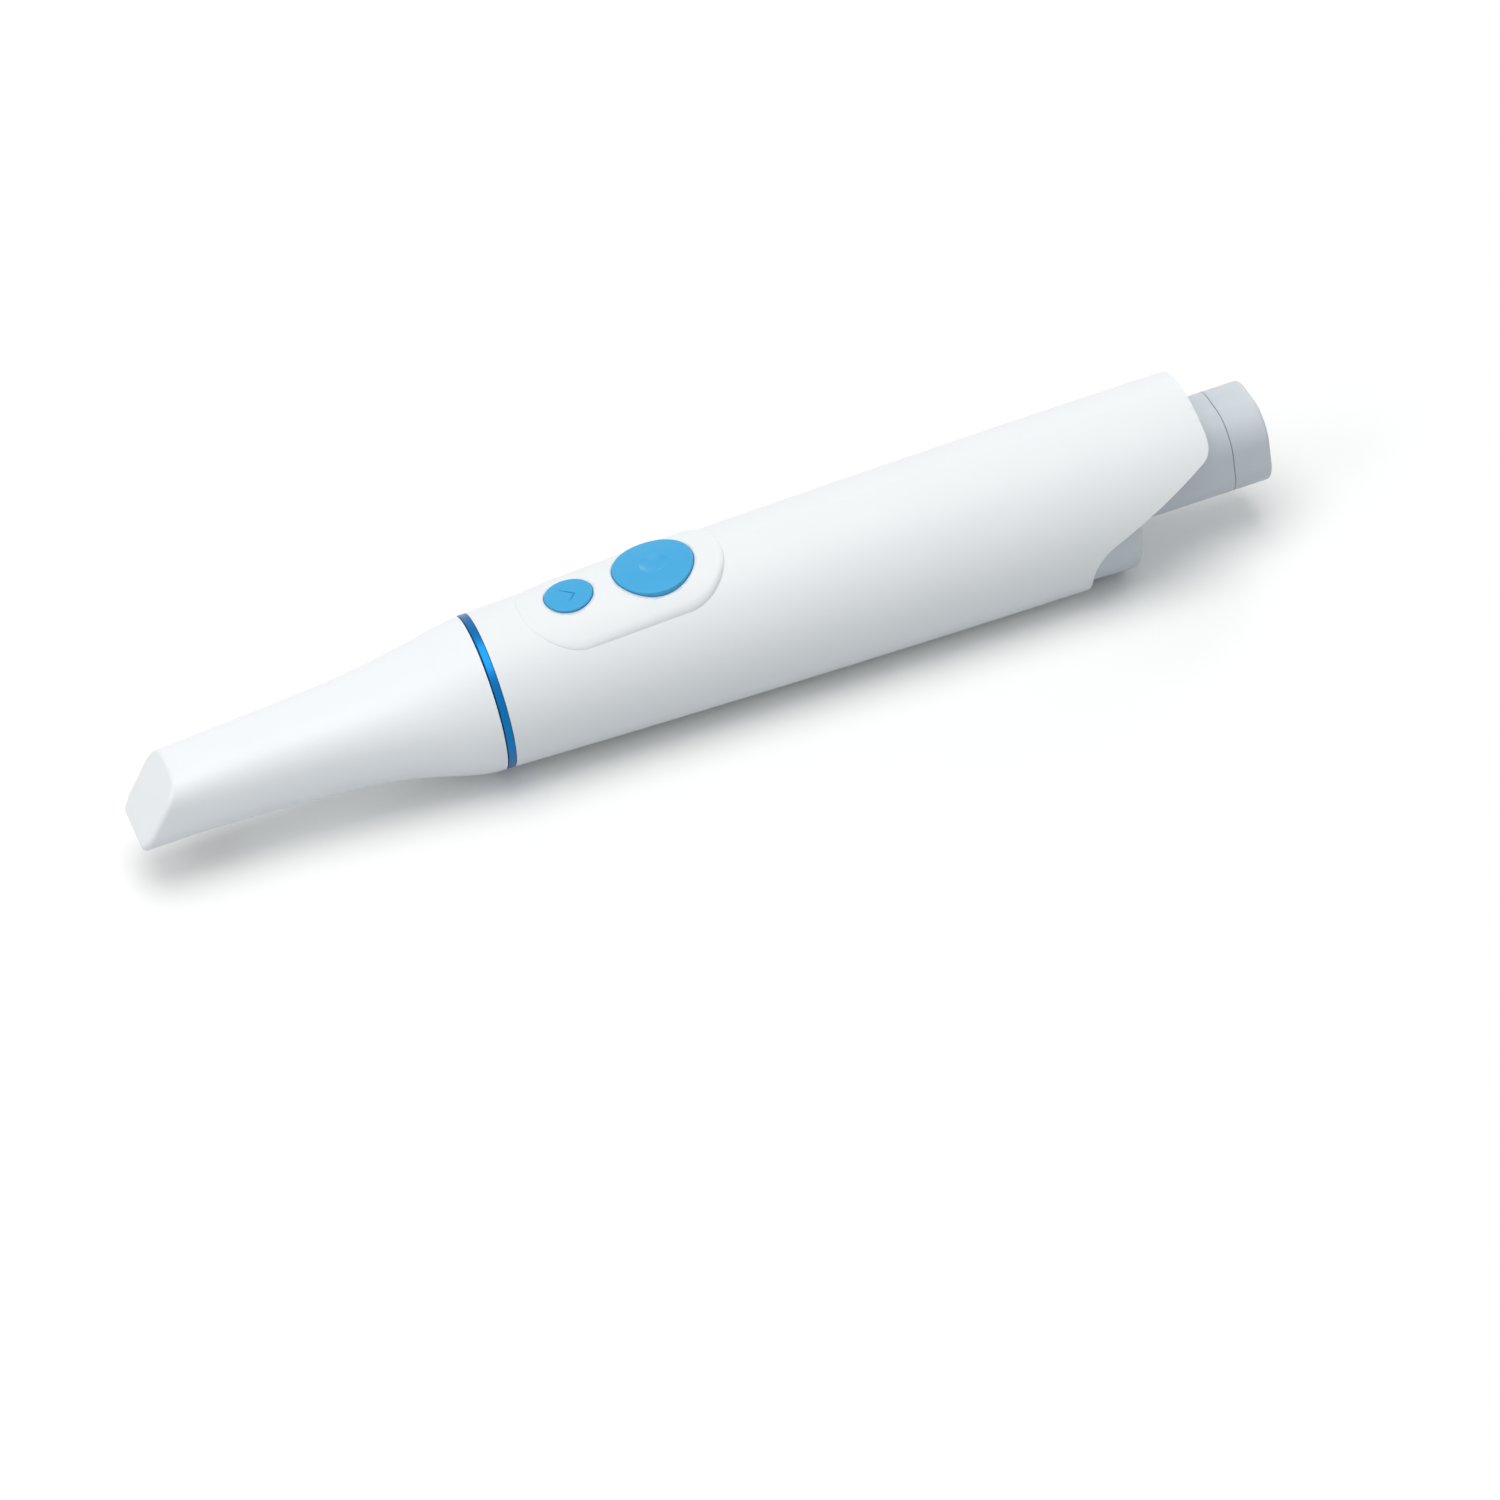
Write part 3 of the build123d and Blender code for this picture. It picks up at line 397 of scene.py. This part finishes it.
def flat_net(low, high, inner_ring, holes):
    """Places and faces of the pad's top inside the roll, with the key holes left open."""
    flat = list(inner_ring)
    edges = [(i, (i + 1) % len(flat)) for i in range(len(flat))]
    for middle, radius in holes:
        first = len(flat)
        for i in range(HOLE_STEPS):
            turn = 2 * math.pi * i / HOLE_STEPS
            flat.append(Vector((middle + radius * math.cos(turn), radius * math.sin(turn))))
            edges.append((first + i, first + (i + 1) % HOLE_STEPS))
    for x in np.arange(low.x, high.x, PAD_GRID):
        for y in np.arange(low.y, high.y, PAD_GRID):
            off_holes = all(math.hypot(x - m, y) > r + PAD_GRID / 2 for m, r in holes)
            if off_holes and distance_inside(low, high, x, y) > PAD_ROLL + PAD_GRID / 2:
                flat.append(Vector((x, y)))
    places, _, faces, _, _, _ = delaunay_2d_cdt(flat, edges, [], 0, SAME_PLACE)
    kept = []
    for face in faces:
        x = sum(places[i].x for i in face) / len(face)
        y = sum(places[i].y for i in face) / len(face)
        in_hole = any(math.hypot(x - m, y) < r for m, r in holes)
        if not in_hole and distance_inside(low, high, x, y) > PAD_ROLL * ROLL_EDGE:
            kept.append(face)
    return places, kept


def close_below(mesh, surface):
    """Walls down from the rim and the holes to an underside that follows the body."""
    rim = [e for e in mesh.edges if len(e.link_faces) == 1]
    walls = bmesh.ops.extrude_edge_only(mesh, edges=rim)["geom"]
    for vertex in (v for v in walls if isinstance(v, bmesh.types.BMVert)):
        vertex.co.z = surface.body_top(vertex.co.x, vertex.co.y) - PAD_SINK
    bottom = [e for e in walls if isinstance(e, bmesh.types.BMEdge) and len(e.link_faces) == 1]
    bmesh.ops.triangle_fill(mesh, use_beauty=True, use_dissolve=False, edges=bottom)


def make_key_pad(material):
    """Key pad with a rolled rim and its two key holes, in place of its solid."""
    low, high = (Vector(c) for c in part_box("keypad_cover"))
    surface = PadSurface(low, high)
    rings = roll_rings(pad_outline(low, high))
    inner_ring = [point for point, inside in rings[-1]]
    places, flat_faces = flat_net(low, high, inner_ring, surface.key_holes())

    mesh = bmesh.new()

    def top_vertex(point, inside):
        return mesh.verts.new((point.x, point.y, surface.pad_top(point.x, point.y, inside)))

    flat = [top_vertex(point, PAD_ROLL) for point in places]
    for face in flat_faces:
        mesh.faces.new([flat[i] for i in face])
    loops = [[top_vertex(point, inside) for point, inside in ring] for ring in rings]
    for outer, inner in zip(loops[:-1], loops[1:]):
        for i in range(len(outer)):
            j = (i + 1) % len(outer)
            mesh.faces.new((outer[i], outer[j], inner[j], inner[i]))
    bmesh.ops.remove_doubles(mesh, verts=mesh.verts, dist=SAME_POINT)
    bmesh.ops.delete(mesh, geom=[v for v in mesh.verts if not v.link_faces], context="VERTS")
    upper = set(mesh.faces)
    close_below(mesh, surface)
    bmesh.ops.recalc_face_normals(mesh, faces=mesh.faces)
    for face in mesh.faces:
        face.smooth = face in upper
    data = bpy.data.meshes.new("key_pad_rolled")
    mesh.to_mesh(data)
    mesh.free()
    data.materials.append(material)
    piece = bpy.data.objects.new("key_pad_rolled", data)
    bpy.context.scene.collection.objects.link(piece)
    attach(piece, "housing")
    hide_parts("keypad_cover")


# Stage: floor, world and lamps. Both the floor and the world look white to the camera and in
# reflections, and send less light than that to the scanner.

FLOOR_HALF = 3.0
FLOOR_SEEN = (1.0, 0.985, 0.955)
FLOOR_BOUNCED = (0.6, 0.62, 0.64)
FLOOR_LIFT = 0.04
WORLD_COLOUR = (0.95, 1.0, 1.06)
WORLD_LIGHT = 0.48
LAMP_AIM = Vector((-0.06, 0, 0))
# Name, place, disc size and power of each lamp
LAMPS = (
    ("lamp_top", (-0.1, -0.1, 1.6), 1.5, 12.6),
    ("lamp_back", (0.75, 1.0, 0.55), 0.6, 2.6),
    ("lamp_front", (-1.1, -0.35, 0.85), 0.9, 3.0),
)


def seen_rays(nodes, links):
    """1 for rays of the camera, of gloss and through glass, and 0 for the light that falls on things."""
    path = nodes.new("ShaderNodeLightPath")
    value = path.outputs["Is Camera Ray"]
    for other in ("Is Glossy Ray", "Is Transmission Ray"):
        either = nodes.new("ShaderNodeMath")
        either.operation = "MAXIMUM"
        links.new(value, either.inputs[0])
        links.new(path.outputs[other], either.inputs[1])
        value = either.outputs["Value"]
    return value


def stage_material(name, seen, bounced, lift):
    """Pale floor that looks lighter to the camera than the light it sends on."""
    material, nodes, links, shader = new_material(name)
    rays = seen_rays(nodes, links)
    links.new(blend_colours(nodes, links, rays, bounced, seen), shader.inputs["Base Color"])
    shader.inputs["Emission Color"].default_value = (*seen, 1)
    links.new(ramp(nodes, links, rays, 0.0, lift), shader.inputs["Emission Strength"])
    shader.inputs["Roughness"].default_value = 1.0
    shader.inputs["Specular IOR Level"].default_value = 0.0
    return material


def make_floor():
    """Plain pale floor at the height on which the scanner rests."""
    mesh = bpy.data.meshes.new("floor")
    ends = (-FLOOR_HALF, FLOOR_HALF)
    corners = [(ends[i], ends[j], 0) for i, j in ((0, 0), (1, 0), (1, 1), (0, 1))]
    mesh.from_pydata(corners, [], [(0, 1, 2, 3)])
    floor = bpy.data.objects.new("floor", mesh)
    mesh.materials.append(stage_material("floor_pale", FLOOR_SEEN, FLOOR_BOUNCED, FLOOR_LIFT))
    bpy.context.scene.collection.objects.link(floor)


def make_world():
    """Even light from all round."""
    world = bpy.data.worlds.new("studio")
    world.use_nodes = True
    nodes, links = world.node_tree.nodes, world.node_tree.links
    background = nodes["Background"]
    background.inputs["Color"].default_value = (*WORLD_COLOUR, 1)
    strength = ramp(nodes, links, seen_rays(nodes, links), WORLD_LIGHT, 1.0)
    links.new(strength, background.inputs["Strength"])
    bpy.context.scene.world = world


def make_lamps():
    """Soft round lamps, each turned to the scanner."""
    for name, place, size, power in LAMPS:
        data = bpy.data.lights.new(name, "AREA")
        data.shape = "DISK"
        data.size = size
        data.energy = power
        lamp = bpy.data.objects.new(name, data)
        lamp.location = place
        lamp.rotation_euler = (LAMP_AIM - Vector(place)).to_track_quat("-Z", "Y").to_euler()
        bpy.context.scene.collection.objects.link(lamp)


slot_materials = make_materials()
make_camera()
make_floor()
make_world()
make_lamps()
dress_frame(slot_materials)
make_key_pad(slot_materials["body_white"])
bpy.context.scene.view_settings.view_transform = "Standard"
